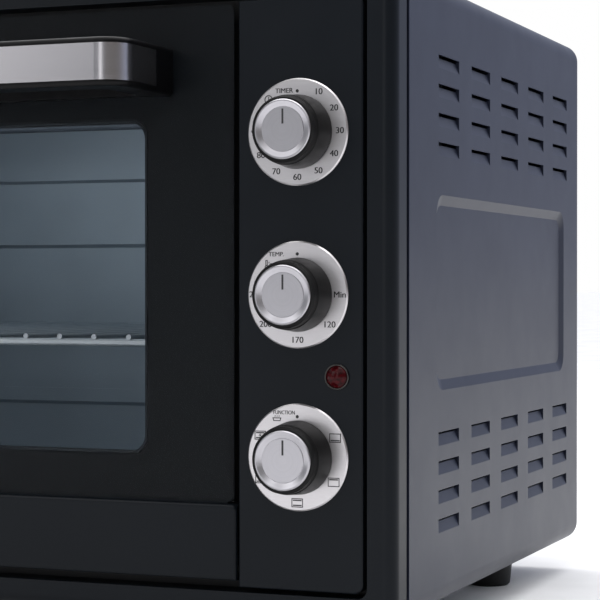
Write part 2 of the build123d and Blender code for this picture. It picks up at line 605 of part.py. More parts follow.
# ---------------------------------------------------------------- control bay
PIN_HOLE = PIN_RADIUS + 1.0
PANEL_CORNER = 5.5
PANEL_SHAFT_HOLE = 6.0
PANEL_LAMP_HOLE = 5.8
with BuildPart() as control_panel:
    with BuildSketch(at_y(PLATE_FRONT)):
        rect(PANEL_LEFT, PANEL_RIGHT, PANEL_BOTTOM, PANEL_TOP, PANEL_CORNER)
        rect(PANEL_LEFT, PANEL_LEFT + 12.0, PANEL_BOTTOM, PANEL_TOP)
    extrude(amount=PLATE_FRONT - FRONT_Y)
    chamfer(control_panel.faces().sort_by(Axis.Y)[0].edges(), 0.7)
    with BuildSketch(at_y(PLATE_FRONT)):
        rect(PANEL_LEFT + SHEET, PANEL_RIGHT - SHEET, PANEL_BOTTOM + SHEET, PANEL_TOP - SHEET,
             PANEL_CORNER - SHEET)
        rect(PANEL_LEFT + SHEET, PANEL_LEFT + 20.0, PANEL_BOTTOM + SHEET, PANEL_TOP - SHEET)
    extrude(amount=PLATE_FRONT - FRONT_Y - PANEL_SHEET, mode=Mode.SUBTRACT)
    with BuildSketch(at_y(PLATE_FRONT)):
        for knob_z in KNOBS.values():
            with Locations((KNOB_X, knob_z)):
                Circle(PANEL_SHAFT_HOLE)
        with Locations((LAMP_X, LAMP_Z)):
            Circle(PANEL_LAMP_HOLE)
    extrude(amount=PLATE_FRONT - FRONT_Y, mode=Mode.SUBTRACT)
    rod_x(PANEL_LEFT - 1.0, PANEL_LEFT + 4.0, HINGE_Y, HINGE_Z, PIN_HOLE, mode=Mode.SUBTRACT)
save(control_panel, "control_panel")

SHAFT_BACK = -130.0
SHAFT_FRONT = DIAL_FRONT - 15.5
KNOB_BASE_RADIUS = 20.75
KNOB_FRONT_RADIUS = 18.5
KNOB_DEPTH = 22.0
CAP_SEAT = 20.6
CAP_RADIUS = 16.5
CAP_DISH = 12.5             # radius of the flat middle of the cap
KNOB_SOCKET = 14.0          # depth of the hollow around the hub
KNOB_HUB = 6.0
for knob_name, knob_z in KNOBS.items():
    knob_axis = Axis((KNOB_X, 0, knob_z), (0, 1, 0))

    with BuildPart() as dial:
        with BuildSketch(turned(KNOB_X, FRONT_Y, knob_z)):
            with BuildLine():
                Polyline(
                    (0, DIAL_BORE),
                    (0, DIAL_RADIUS),
                    (DIAL_THICKNESS - DIAL_CHAMFER, DIAL_RADIUS),
                    (DIAL_THICKNESS, DIAL_RADIUS - DIAL_CHAMFER),
                    (DIAL_THICKNESS, DIAL_BORE),
                    close=True,
                )
            make_face()
        revolve(axis=knob_axis)
    save(dial, f"{knob_name}_dial")

    with BuildPart() as shaft:
        rod_y(KNOB_X, SHAFT_FRONT, SHAFT_BACK, knob_z, SHAFT_RADIUS)
        rod_y(KNOB_X, SHAFT_BACK - 3.0, SHAFT_BACK, knob_z, SHAFT_RADIUS + 2.0)
        block(KNOB_X - 4.0, KNOB_X + 4.0, SHAFT_FRONT - 1.0, SHAFT_FRONT + 9.0, knob_z + 1.8, knob_z + 4.0,
              mode=Mode.SUBTRACT)
    save(shaft, f"{knob_name}_shaft")

    with BuildPart() as knob:
        with BuildSketch(turned(KNOB_X, DIAL_FRONT, knob_z)) as knob_profile:
            with BuildLine():
                Polyline(
                    (0.5, KNOB_BASE_RADIUS - 2.0),
                    (0.5, KNOB_BASE_RADIUS),
                    (16.4, KNOB_FRONT_RADIUS + 0.8),
                    (16.8, KNOB_FRONT_RADIUS + 0.3),
                    (KNOB_DEPTH - 1.2, KNOB_FRONT_RADIUS),
                    (KNOB_DEPTH, KNOB_FRONT_RADIUS - 1.0),
                    (KNOB_DEPTH, CAP_RADIUS + 0.1),
                    (CAP_SEAT, CAP_RADIUS + 0.1),
                    (CAP_SEAT, 0),
                    (15.8, 0),
                    (15.8, SHAFT_RADIUS + 0.02),
                    (0.9, SHAFT_RADIUS + 0.02),
                    (0.9, KNOB_HUB),
                    (KNOB_SOCKET, KNOB_HUB),
                    (KNOB_SOCKET, KNOB_FRONT_RADIUS - 1.4),
                    close=True,
                )
            make_face()
        revolve(axis=knob_axis)
    save(knob, f"{knob_name}_knob")

    with BuildPart() as knob_cap:
        with BuildSketch(turned(KNOB_X, DIAL_FRONT, knob_z)):
            with BuildLine():
                Polyline(
                    (CAP_SEAT, 0),
                    (CAP_SEAT, CAP_RADIUS),
                    (KNOB_DEPTH + 0.4, CAP_RADIUS),
                    (KNOB_DEPTH + 0.9, CAP_RADIUS - 0.5),
                    (KNOB_DEPTH + 0.9, CAP_RADIUS - 1.1),
                    (KNOB_DEPTH - 0.3, CAP_DISH),
                    (KNOB_DEPTH - 0.3, CAP_DISH - 0.2),
                    (KNOB_DEPTH, CAP_DISH - 0.4),
                    (KNOB_DEPTH, 0),
                    close=True,
                )
            make_face()
        revolve(axis=knob_axis)
    save(knob_cap, f"{knob_name}_knob_cap")

# Each switch unit is screwed behind the front plate; its collar carries the shaft.
UNITS = {
    "timer": ("timer_unit", 46.0, 50.0, 34.0),
    "temp": ("thermostat_unit", 42.0, 46.0, 30.0),
    "function": ("selector_switch", 40.0, 40.0, 42.0),
}
for knob_name, (unit_name, unit_width, unit_height, unit_depth) in UNITS.items():
    knob_z = KNOBS[knob_name]
    unit_back = PLATE_BACK + unit_depth
    with BuildPart() as unit:
        block(KNOB_X - unit_width / 2, KNOB_X + unit_width / 2, PLATE_BACK, unit_back,
              knob_z - unit_height / 2, knob_z + unit_height / 2)
        fillet(unit.edges().filter_by(Axis.Y), 3.0)
        rod_y(KNOB_X, PLATE_FRONT - 6.0, PLATE_BACK + 1.0, knob_z, 5.5)
        rod_y(KNOB_X, PLATE_FRONT - 7.0, SHAFT_BACK - 3.0, knob_z, SHAFT_RADIUS + RUNNING, mode=Mode.SUBTRACT)
        rod_y(KNOB_X, SHAFT_BACK - 3.2, SHAFT_BACK + 0.4, knob_z, SHAFT_RADIUS + 2.0 + RUNNING,
              mode=Mode.SUBTRACT)
        if knob_name == "timer":
            rod_y(KNOB_X, unit_back, unit_back + 4.0, knob_z, 4.0)
            rod_y(KNOB_X, unit_back + 3.0, unit_back + 16.0, knob_z, 22.0)
            fillet(unit.faces().sort_by(Axis.Y)[-1].edges(), 7.0)
        else:
            with Locations((KNOB_X, unit_back + 4.0, knob_z)):
                with GridLocations(20.0, 16.0, 2, 1):
                    Box(6.3, 8.0, 0.8)
                with Locations((0, 0, 10.0), (0, 0, -10.0)):
                    Box(6.3, 8.0, 0.8)
    save(unit, unit_name)

LENS_RADIUS = 6.1
LENS_RIM = 0.8
LENS_RISE = 2.8
LENS_STEM = 5.5
LENS_STEM_DEPTH = 9.0
LENS_SPHERE = (LENS_RADIUS**2 + LENS_RISE**2) / (2 * LENS_RISE)
LENS_HALF_ANGLE = math.asin(LENS_RADIUS / LENS_SPHERE) / 2
LENS_SHOULDER = (
    LENS_RIM + LENS_RISE - LENS_SPHERE * (1 - math.cos(LENS_HALF_ANGLE)),
    LENS_SPHERE * math.sin(LENS_HALF_ANGLE),
)
with BuildPart() as indicator_lens:
    with BuildSketch(turned(LAMP_X, FRONT_Y, LAMP_Z)):
        with BuildLine():
            Line((-LENS_STEM_DEPTH, 0), (-LENS_STEM_DEPTH, LENS_STEM))
            Line((-LENS_STEM_DEPTH, LENS_STEM), (0, LENS_STEM))
            Line((0, LENS_STEM), (0, LENS_RADIUS))
            Line((0, LENS_RADIUS), (LENS_RIM, LENS_RADIUS))
            ThreePointArc((LENS_RIM, LENS_RADIUS), LENS_SHOULDER, (LENS_RIM + LENS_RISE, 0))
            Line((LENS_RIM + LENS_RISE, 0), (-LENS_STEM_DEPTH, 0))
        make_face()
    revolve(axis=Axis((LAMP_X, 0, LAMP_Z), (0, 1, 0)))
save(indicator_lens, "indicator_lens")

with BuildPart() as lamp_bezel:
    with BuildSketch(at_y(FRONT_Y)):
        with Locations((LAMP_X, LAMP_Z)):
            Circle(7.2)
            Circle(6.2, mode=Mode.SUBTRACT)
    extrude(amount=1.2)
    fillet(lamp_bezel.faces().sort_by(Axis.Y)[0].edges(), 0.4)
save(lamp_bezel, "lamp_bezel")

with BuildPart() as neon_lamp:
    rod_y(LAMP_X, FRONT_Y + LENS_STEM_DEPTH, FRONT_Y + 30.0, LAMP_Z, LENS_STEM)
    for blade_x in (LAMP_X - 2.5, LAMP_X + 2.5):
        block(blade_x - 0.4, blade_x + 0.4, FRONT_Y + 29.0, FRONT_Y + 38.0, LAMP_Z - 2.0, LAMP_Z + 2.0)
save(neon_lamp, "neon_lamp")

GLAND_FLANGE = 11.0
GLAND_FRONT = REAR_COVER_Y - 10.0
GLAND_BACK = BACK_Y
with BuildPart() as cord_gland:
    rod_y(CORD_X, GLAND_FRONT, GLAND_BACK, CORD_Z, 7.9)
    rod_y(CORD_X, REAR_COVER_Y + SHEET, GLAND_BACK, CORD_Z, GLAND_FLANGE)
    rod_y(CORD_X, REAR_COVER_Y - 3.0, REAR_COVER_Y, CORD_Z, GLAND_FLANGE - 1.5)
    rod_y(CORD_X, GLAND_FRONT - 1.0, GLAND_BACK + 1.0, CORD_Z, CORD_RADIUS, mode=Mode.SUBTRACT)
save(cord_gland, "cord_gland")

BLOCK_Y = 170.0
BLOCK_BOTTOM = CASE_BOTTOM + SHEET
with BuildPart() as terminal_block:
    block(CORD_X - 22.0, CORD_X + 22.0, BLOCK_Y, BLOCK_Y + 16.0, BLOCK_BOTTOM, BLOCK_BOTTOM + 14.0)
    for clamp_x in (CORD_X - 14.0, CORD_X, CORD_X + 14.0):
        rod_z(clamp_x, BLOCK_Y + 8.0, BLOCK_BOTTOM + 10.0, BLOCK_BOTTOM + 15.0, 3.5, mode=Mode.SUBTRACT)
save(terminal_block, "terminal_block")

WIRE_RADIUS = 1.3
WIRE_TOP = BLOCK_BOTTOM + 16.0
WIRE_RISE_Y = -100.0
WIRE_END_Y = -140.0
with BuildPart() as wiring_loom:
    for wire_x, unit_key in ((CORD_X + 31.0, "timer"), (CORD_X + 36.0, "temp"), (CORD_X + 41.0, "function")):
        with BuildLine() as wire_path:
            FilletPolyline(
                (wire_x, BLOCK_Y + 8.0, WIRE_TOP),
                (wire_x, WIRE_RISE_Y, WIRE_TOP),
                (wire_x, WIRE_RISE_Y, KNOBS[unit_key]),
                (wire_x, WIRE_END_Y, KNOBS[unit_key]),
                radius=12.0,
            )
        with BuildSketch(Plane(origin=wire_path.line @ 0, z_dir=wire_path.line % 0)):
            Circle(WIRE_RADIUS)
        sweep()
save(wiring_loom, "wiring_loom")

# ---------------------------------------------------------------- door
HANDLE_POSTS = (HANDLE_LEFT + HANDLE_BAR / 2, HANDLE_RIGHT - HANDLE_BAR / 2)
GLASS_CORNER = 4.0
GLASS_HOLE = 3.0
with BuildPart() as door_glass:
    with BuildSketch(at_y(GLASS_BACK)):
        rect(DOOR_LEFT, GLASS_RIGHT, GLASS_BOTTOM, GLASS_TOP, GLASS_CORNER)
        rect(DOOR_LEFT, GLASS_RIGHT, GLASS_BOTTOM, GLASS_BOTTOM + 10.0)
    extrude(amount=GLASS_BACK - FRONT_Y)
    chamfer(door_glass.faces().sort_by(Axis.Y)[0].edges(), 0.8)
    with BuildSketch(at_y(GLASS_BACK)):
        with Locations(*[(x, HANDLE_Z) for x in HANDLE_POSTS]):
            Circle(GLASS_HOLE)
    extrude(amount=GLASS_BACK - FRONT_Y, mode=Mode.SUBTRACT)
save(door_glass, "door_glass")

with BuildPart() as door_glass_print:
    with BuildSketch(at_y(PRINT_BACK)):
        rect(DOOR_LEFT, GLASS_RIGHT, GLASS_BOTTOM, GLASS_TOP, GLASS_CORNER)
        rect(*WINDOW, WINDOW_CORNER, mode=Mode.SUBTRACT)
        with Locations(*[(x, HANDLE_Z) for x in HANDLE_POSTS]):
            Circle(GLASS_HOLE, mode=Mode.SUBTRACT)
    extrude(amount=PRINT_BACK - PRINT_FRONT)
save(door_glass_print, "door_glass_print")

FRAME_EDGE = (-276.0, 198.0, RAIL_TOP, 366.0)       # left, right, bottom, top of the inner door frame
FRAME_SHEET = 1.2
FRAME_LIP = 2.0             # the frame's own opening is smaller than the window by this much
with BuildPart() as door_frame:
    with BuildSketch(at_y(DOOR_FRAME_BACK)):
        rect(*FRAME_EDGE)
        rect(WINDOW[0] + FRAME_LIP, WINDOW[1] - FRAME_LIP, WINDOW[2] + FRAME_LIP, WINDOW[3] - FRAME_LIP,
             WINDOW_CORNER, mode=Mode.SUBTRACT)
    extrude(amount=DOOR_FRAME_BACK - PRINT_BACK)
    fillet(door_frame.faces().sort_by(Axis.Y)[-1].outer_wire().edges(), 2.0)
    with BuildSketch(at_y(DOOR_FRAME_BACK - FRAME_SHEET)):
        rect(FRAME_EDGE[0] + FRAME_SHEET, FRAME_EDGE[1] - FRAME_SHEET,
             FRAME_EDGE[2] + FRAME_SHEET, FRAME_EDGE[3] - FRAME_SHEET)
        rect(WINDOW[0] + FRAME_LIP - FRAME_SHEET, WINDOW[1] - FRAME_LIP + FRAME_SHEET,
             WINDOW[2] + FRAME_LIP - FRAME_SHEET, WINDOW[3] - FRAME_LIP + FRAME_SHEET,
             WINDOW_CORNER, mode=Mode.SUBTRACT)
    extrude(amount=DOOR_FRAME_BACK - FRAME_SHEET - PRINT_BACK, mode=Mode.SUBTRACT)
    with BuildSketch(at_y(DOOR_FRAME_BACK)):
        with Locations(*[(x, HANDLE_Z) for x in HANDLE_POSTS]):
            Circle(6.0)
    extrude(amount=FRAME_SHEET, mode=Mode.SUBTRACT)
save(door_frame, "door_frame")

RAIL_WALL = 2.0
RAIL_END = 12.0
PIN_DEPTH = 10.0
with BuildPart() as door_bottom_rail:
    with BuildSketch(at_y(RAIL_BACK)):
        rect(DOOR_LEFT, RAIL_RIGHT, RAIL_BOTTOM, RAIL_TOP)
    extrude(amount=RAIL_BACK - RAIL_FRONT)
    fillet(door_bottom_rail.edges().filter_by(Axis.Y).group_by(Axis.Z)[-1], 3.0)
    fillet(door_bottom_rail.faces().sort_by(Axis.Y)[0].edges(), 1.8)
    block(DOOR_LEFT + RAIL_END, RAIL_RIGHT - RAIL_END, RAIL_FRONT + RAIL_WALL, RAIL_BACK,
          RAIL_BOTTOM + RAIL_WALL, RAIL_TOP - RAIL_WALL, mode=Mode.SUBTRACT)
    rod_x(DOOR_LEFT - 1.0, DOOR_LEFT + PIN_DEPTH, HINGE_Y, HINGE_Z, PIN_RADIUS, mode=Mode.SUBTRACT)
    rod_x(RAIL_RIGHT - PIN_DEPTH, RAIL_RIGHT + 1.0, HINGE_Y, HINGE_Z, PIN_RADIUS, mode=Mode.SUBTRACT)
save(door_bottom_rail, "door_bottom_rail")

PIN_LEFT_END = BRACKET_EAR[0] - 0.1
PIN_RIGHT_END = 224.0
with BuildPart() as hinge_pins:
    rod_x(PIN_LEFT_END, DOOR_LEFT + PIN_DEPTH, HINGE_Y, HINGE_Z, PIN_RADIUS)
    rod_x(RAIL_RIGHT - PIN_DEPTH, PIN_RIGHT_END, HINGE_Y, HINGE_Z, PIN_RADIUS)
save(hinge_pins, "hinge_pins")

BRACKET_SHEET = 1.8
EAR_FRONT = HINGE_Y - 5.5
with BuildPart() as hinge_bracket_left:
    block(*BRACKET_EAR, EAR_FRONT, PLATE_BACK + BRACKET_SHEET, HINGE_Z - BRACKET_HALF, HINGE_Z + BRACKET_HALF)
    block(BRACKET_EAR[0], BRACKET_EAR[1] + 14.0, PLATE_BACK, PLATE_BACK + BRACKET_SHEET,
          HINGE_Z - BRACKET_HALF, HINGE_Z + BRACKET_HALF)
    rod_x(BRACKET_EAR[0] - 1.0, BRACKET_EAR[1] + 1.0, HINGE_Y, HINGE_Z, PIN_RADIUS + RUNNING,
          mode=Mode.SUBTRACT)
save(hinge_bracket_left, "hinge_bracket_left")

RIGHT_EAR = PANEL_LEFT + SHEET
RIGHT_EAR_BOTTOM = HINGE_Z - 7.0
with BuildPart() as hinge_bracket_right:
    block(RIGHT_EAR, RIGHT_EAR + BRACKET_SHEET, EAR_FRONT, PLATE_FRONT,
          RIGHT_EAR_BOTTOM, HINGE_Z + BRACKET_HALF)
    block(RIGHT_EAR, RIGHT_EAR + 16.0, PLATE_FRONT - BRACKET_SHEET, PLATE_FRONT,
          RIGHT_EAR_BOTTOM, HINGE_Z + BRACKET_HALF)
    rod_x(RIGHT_EAR - 1.0, RIGHT_EAR + 3.0, HINGE_Y, HINGE_Z, PIN_RADIUS + RUNNING, mode=Mode.SUBTRACT)
save(hinge_bracket_right, "hinge_bracket_right")

SPRING_START = RIGHT_EAR + 2.4
SPRING_RADIUS = 4.4
SPRING_WIRE = 0.55
SPRING_PITCH = 1.6
SPRING_TURNS = 6
with BuildPart() as door_spring:
    with BuildLine() as spring_path:
        Helix(SPRING_PITCH, SPRING_PITCH * SPRING_TURNS, SPRING_RADIUS,
              center=(SPRING_START, HINGE_Y, HINGE_Z), direction=(1, 0, 0))
    with BuildSketch(Plane(origin=spring_path.line @ 0, z_dir=spring_path.line % 0)):
        Circle(SPRING_WIRE)
    sweep(is_frenet=True)
save(door_spring, "door_spring")

# Door stays: flat arcs about the hinge axis through slots in the front plate, stopped by their heads.
STAY_START = math.degrees(math.asin((DOOR_FRAME_BACK - HINGE_Y) / (STAY_RADIUS - STAY_WIDTH / 2))) + 0.4
STAY_END = 98.0
STAY_THICKNESS = 2.0
for stay_side, stay_x in STAYS.items():
    with BuildPart() as door_stay:
        with BuildSketch(Plane(origin=(stay_x, HINGE_Y, HINGE_Z), x_dir=(0, 1, 0), z_dir=(1, 0, 0))):
            with BuildLine():
                CenterArc((0, 0), STAY_RADIUS + STAY_WIDTH / 2, 90 - STAY_END, STAY_END - STAY_START)
                CenterArc((0, 0), STAY_RADIUS - STAY_WIDTH / 2, 90 - STAY_END, STAY_END - STAY_START)
                for end in (90 - STAY_END, 90 - STAY_START):
                    Line(
                        Vector(STAY_RADIUS - STAY_WIDTH / 2, 0).rotate(Axis.Z, end),
                        Vector(STAY_RADIUS + STAY_WIDTH / 2, 0).rotate(Axis.Z, end),
                    )
            make_face()
            with Locations(Vector(STAY_RADIUS, 0).rotate(Axis.Z, 90 - STAY_END)):
                Circle(STAY_WIDTH * 0.8)
        extrude(amount=STAY_THICKNESS)
        block(stay_x, stay_x + STAY_THICKNESS, DOOR_FRAME_BACK, DOOR_FRAME_BACK + 1.2,
              STAY_SLOT_Z - 6.5, STAY_SLOT_Z + 6.0)
    save(door_stay, f"door_stay_{stay_side}")

HANDLE_BOTTOM = HANDLE_Z - HANDLE_HEIGHT / 2
TRIM_BOTTOM = HANDLE_Z - TRIM_HEIGHT / 2
with BuildPart() as handle_body:
    with BuildSketch(at_z(HANDLE_BOTTOM)):
        rect(HANDLE_LEFT, HANDLE_RIGHT, HANDLE_FRONT, FRONT_Y + HANDLE_CORNER * 2, HANDLE_CORNER)
        rect(HANDLE_LEFT - 1.0, HANDLE_RIGHT + 1.0, FRONT_Y, FRONT_Y + HANDLE_CORNER * 3, mode=Mode.SUBTRACT)
    extrude(amount=HANDLE_HEIGHT)
    for handle_face in (handle_body.faces().sort_by(Axis.Z)[0], handle_body.faces().sort_by(Axis.Z)[-1]):
        fillet(handle_face.edges().filter_by(lambda e: e.center().Y < FRONT_Y - 1), HANDLE_ROUND)
    # finger gap between the two posts
    with BuildSketch(at_z(HANDLE_BOTTOM)):
        rect(HANDLE_LEFT + HANDLE_BAR, HANDLE_RIGHT - HANDLE_BAR, HANDLE_FRONT + HANDLE_BAR,
             FRONT_Y - HANDLE_BASE, HANDLE_GAP_CORNER)
    extrude(amount=HANDLE_HEIGHT, mode=Mode.SUBTRACT)
    # seat of the metal trim
    with BuildSketch(at_z(TRIM_BOTTOM)):
        rect(HANDLE_LEFT - 1.0, HANDLE_RIGHT + 1.0, HANDLE_FRONT - 1.0, TRIM_END_Y)
        rect(HANDLE_LEFT + TRIM_THICKNESS, HANDLE_RIGHT - TRIM_THICKNESS, HANDLE_FRONT + TRIM_THICKNESS,
             FRONT_Y + HANDLE_CORNER * 2, HANDLE_CORNER - TRIM_THICKNESS, mode=Mode.SUBTRACT)
    extrude(amount=TRIM_HEIGHT, mode=Mode.SUBTRACT)
    with BuildSketch(at_y(FRONT_Y)):
        with Locations(*[(x, HANDLE_Z) for x in HANDLE_POSTS]):
            Circle(2.0)
    extrude(amount=14.0, mode=Mode.SUBTRACT)
save(handle_body, "handle_body")

with BuildPart() as handle_trim:
    with BuildSketch(at_z(TRIM_BOTTOM)):
        rect(HANDLE_LEFT, HANDLE_RIGHT, HANDLE_FRONT, FRONT_Y + HANDLE_CORNER * 2, HANDLE_CORNER)
        rect(HANDLE_LEFT + TRIM_THICKNESS, HANDLE_RIGHT - TRIM_THICKNESS, HANDLE_FRONT + TRIM_THICKNESS,
             FRONT_Y + HANDLE_CORNER * 2 + 1.0, HANDLE_CORNER - TRIM_THICKNESS, mode=Mode.SUBTRACT)
        rect(HANDLE_LEFT - 1.0, HANDLE_RIGHT + 1.0, TRIM_END_Y, FRONT_Y + HANDLE_CORNER * 3,
             mode=Mode.SUBTRACT)
    extrude(amount=TRIM_HEIGHT)
save(handle_trim, "handle_trim")

with BuildPart() as handle_screws:
    for post_x in HANDLE_POSTS:
        rod_y(post_x, FRONT_Y - 13.0, PRINT_BACK + 0.5, HANDLE_Z, 2.0)
        rod_y(post_x, PRINT_BACK, PRINT_BACK + 2.6, HANDLE_Z, 4.0)
        block(post_x - 2.6, post_x + 2.6, PRINT_BACK + 1.4, PRINT_BACK + 3.0, HANDLE_Z - 0.5, HANDLE_Z + 0.5,
              mode=Mode.SUBTRACT)
save(handle_screws, "handle_screws")
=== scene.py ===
"""Toaster oven: materials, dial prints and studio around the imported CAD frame. Metres, front faces -Y."""

import math

import bmesh
import bpy
from mathutils import Matrix, Vector


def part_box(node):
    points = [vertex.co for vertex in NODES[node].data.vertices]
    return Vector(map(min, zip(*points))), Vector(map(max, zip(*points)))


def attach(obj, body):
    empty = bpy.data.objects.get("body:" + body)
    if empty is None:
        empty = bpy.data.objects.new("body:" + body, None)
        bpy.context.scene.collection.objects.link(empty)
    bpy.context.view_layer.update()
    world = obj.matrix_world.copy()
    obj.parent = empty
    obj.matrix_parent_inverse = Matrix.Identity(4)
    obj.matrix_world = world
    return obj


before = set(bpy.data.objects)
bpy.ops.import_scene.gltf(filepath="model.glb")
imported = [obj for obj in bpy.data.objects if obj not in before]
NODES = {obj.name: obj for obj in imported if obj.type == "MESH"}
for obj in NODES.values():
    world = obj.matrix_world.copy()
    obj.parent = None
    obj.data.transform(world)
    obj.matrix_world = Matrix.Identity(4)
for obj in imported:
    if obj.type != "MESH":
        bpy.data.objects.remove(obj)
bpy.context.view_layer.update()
MM = 0.001
NOISE_LOW, NOISE_HIGH = 0.3, 0.7    # most of a noise texture's values lie between these


# ------------------------------------------------------------------ material helpers
class Shader:
    """A Principled material with short ways to add procedural detail in object coordinates (metres)."""

    def __init__(self, name, color, roughness, metallic=0.0, **sockets):
        self.mat = bpy.data.materials.new(name)
        self.mat.use_nodes = True
        self.tree = self.mat.node_tree
        self.bsdf = self.tree.nodes["Principled BSDF"]
        self.bsdf.inputs["Base Color"].default_value = (*color, 1.0)
        self.bsdf.inputs["Roughness"].default_value = roughness
        self.bsdf.inputs["Metallic"].default_value = metallic
        for socket, value in sockets.items():
            self.bsdf.inputs[socket.replace("_", " ")].default_value = value
        self.color = color
        self.roughness = roughness
        self.coords = self.node("ShaderNodeTexCoord").outputs["Object"]

    def node(self, kind, **settings):
        n = self.tree.nodes.new(kind)
        for key, value in settings.items():
            setattr(n, key, value)
        return n

    def link(self, a, b):
        self.tree.links.new(a, b)

    def noise(self, scale, stretch=(1, 1, 1), detail=3.0, rough=0.55):
        """Noise with scale cycles per metre, stretched by dividing each axis."""
        mapping = self.node("ShaderNodeMapping")
        mapping.inputs["Scale"].default_value = [scale / s for s in stretch]
        self.link(self.coords, mapping.inputs["Vector"])
        n = self.node("ShaderNodeTexNoise")
        n.inputs["Scale"].default_value = 1.0
        n.inputs["Detail"].default_value = detail
        n.inputs["Roughness"].default_value = rough
        self.link(mapping.outputs["Vector"], n.inputs["Vector"])
        return n.outputs["Fac"]

    def spread(self, source, low, high):
        """Map the usual range of a noise to low..high."""
        r = self.node("ShaderNodeMapRange")
        r.inputs["From Min"].default_value = NOISE_LOW
        r.inputs["From Max"].default_value = NOISE_HIGH
        r.inputs["To Min"].default_value = low
        r.inputs["To Max"].default_value = high
        self.link(source, r.inputs["Value"])
        return r.outputs["Result"]

    def vary_roughness(self, source, amount):
        """Let the roughness wander by amount to either side."""
        uneven = self.spread(source, self.roughness - amount, self.roughness + amount)
        self.link(uneven, self.bsdf.inputs["Roughness"])

    def vary_color(self, source, low, high):
        """Mix between two shades of the base colour, given as factors."""
        mix = self.node("ShaderNodeMix", data_type="RGBA")
        self.link(self.spread(source, 0.0, 1.0), mix.inputs["Factor"])
        mix.inputs["A"].default_value = (*[c * low for c in self.color], 1.0)
        mix.inputs["B"].default_value = (*[c * high for c in self.color], 1.0)
        self.link(mix.outputs["Result"], self.bsdf.inputs["Base Color"])

    def bump(self, source, distance, strength):
        """Raise the surface by up to distance metres."""
        b = self.node("ShaderNodeBump")
        b.inputs["Strength"].default_value = strength
        b.inputs["Distance"].default_value = distance
        self.link(source, b.inputs["Height"])
        self.link(b.outputs["Normal"], self.bsdf.inputs["Normal"])


def enamel(name, color, roughness, specular=0.5, peel=0.00002):
    """Sprayed and baked paint: faint orange peel, fine pigment variation and softly uneven gloss."""
    s = Shader(name, color, roughness, Specular_IOR_Level=specular)
    s.vary_color(s.noise(9.0), 0.92, 1.08)
    s.vary_roughness(s.noise(35.0, detail=4.0), 0.018)
    s.bump(s.noise(900.0, detail=2.0), peel, 0.35)
    return s.mat


def brushed(name, color, roughness, stretch, scale=5200.0):
    """Linear brushing: noise drawn out along the stretched axes, in colour and roughness."""
    s = Shader(name, color, roughness, metallic=1.0)
    fine = s.noise(scale, stretch, detail=2.0, rough=0.7)
    coarse = s.noise(scale / 9.0, stretch, detail=2.0)
    s.vary_color(fine, 0.95, 1.04)
    s.vary_roughness(coarse, 0.014)
    return s.mat


def moulded(name, color, roughness, grain=2600.0, depth=0.00002, specular=0.5):
    """Moulded plastic with a fine spark-eroded grain."""
    s = Shader(name, color, roughness, Specular_IOR_Level=specular)
    s.vary_color(s.noise(40.0), 0.88, 1.14)
    s.vary_roughness(s.noise(160.0), 0.05)
    s.bump(s.noise(grain, detail=2.0), depth, 0.5)
    return s.mat


def sheet_metal(name, color, roughness, spangle=160.0, contrast=0.14, metallic=0.9):
    """Zinc or aluminium coated sheet with a soft spangle."""
    s = Shader(name, color, roughness, metallic=metallic)
    s.vary_color(s.noise(spangle, detail=4.0), 1 - contrast, 1 + contrast)
    s.vary_roughness(s.noise(spangle * 2.0), 0.04)
    return s.mat


def spun(name, color, roughness, centre):
    """Turned face: fine rings about an axis along Y through centre."""
    s = Shader(name, color, roughness, metallic=1.0)
    offset = s.node("ShaderNodeVectorMath", operation="SUBTRACT")
    offset.inputs[1].default_value = centre
    s.link(s.coords, offset.inputs[0])
    flat = s.node("ShaderNodeVectorMath", operation="MULTIPLY")
    flat.inputs[1].default_value = (1, 0, 1)
    s.link(offset.outputs["Vector"], flat.inputs[0])
    radius = s.node("ShaderNodeVectorMath", operation="LENGTH")
    s.link(flat.outputs["Vector"], radius.inputs[0])
    rings = s.node("ShaderNodeTexNoise", noise_dimensions="1D")
    rings.inputs["Scale"].default_value = 900.0
    rings.inputs["Detail"].default_value = 2.0
    s.link(radius.outputs["Value"], rings.inputs["W"])
    s.vary_color(rings.outputs["Fac"], 0.97, 1.02)
    s.vary_roughness(s.noise(120.0), 0.01)
    return s.mat


def tinted_glass():
    """Oven-door glass: nearly clear, with a faint grey sheen."""
    s = Shader("door_glass", (0.020, 0.025, 0.031), 0.30, Alpha=0.05, IOR=1.5)
    s.vary_color(s.noise(14.0), 0.93, 1.07)
    s.vary_roughness(s.noise(40.0), 0.012)
    return s.mat


def lens_red():
    """Dark red plastic with a mottled inside."""
    s = Shader("indicator_red", (0.030, 0.0016, 0.0026), 0.16, Specular_IOR_Level=0.12)
    s.vary_color(s.noise(500.0), 0.4, 2.0)
    return s.mat


def bright_metal(name, color, roughness, metallic=1.0):
    """Plated or polished metal with slightly uneven brightness and gloss."""
    s = Shader(name, color, roughness, metallic=metallic)
    s.vary_color(s.noise(60.0), 0.93, 1.04)
    s.vary_roughness(s.noise(90.0), 0.025)
    return s.mat


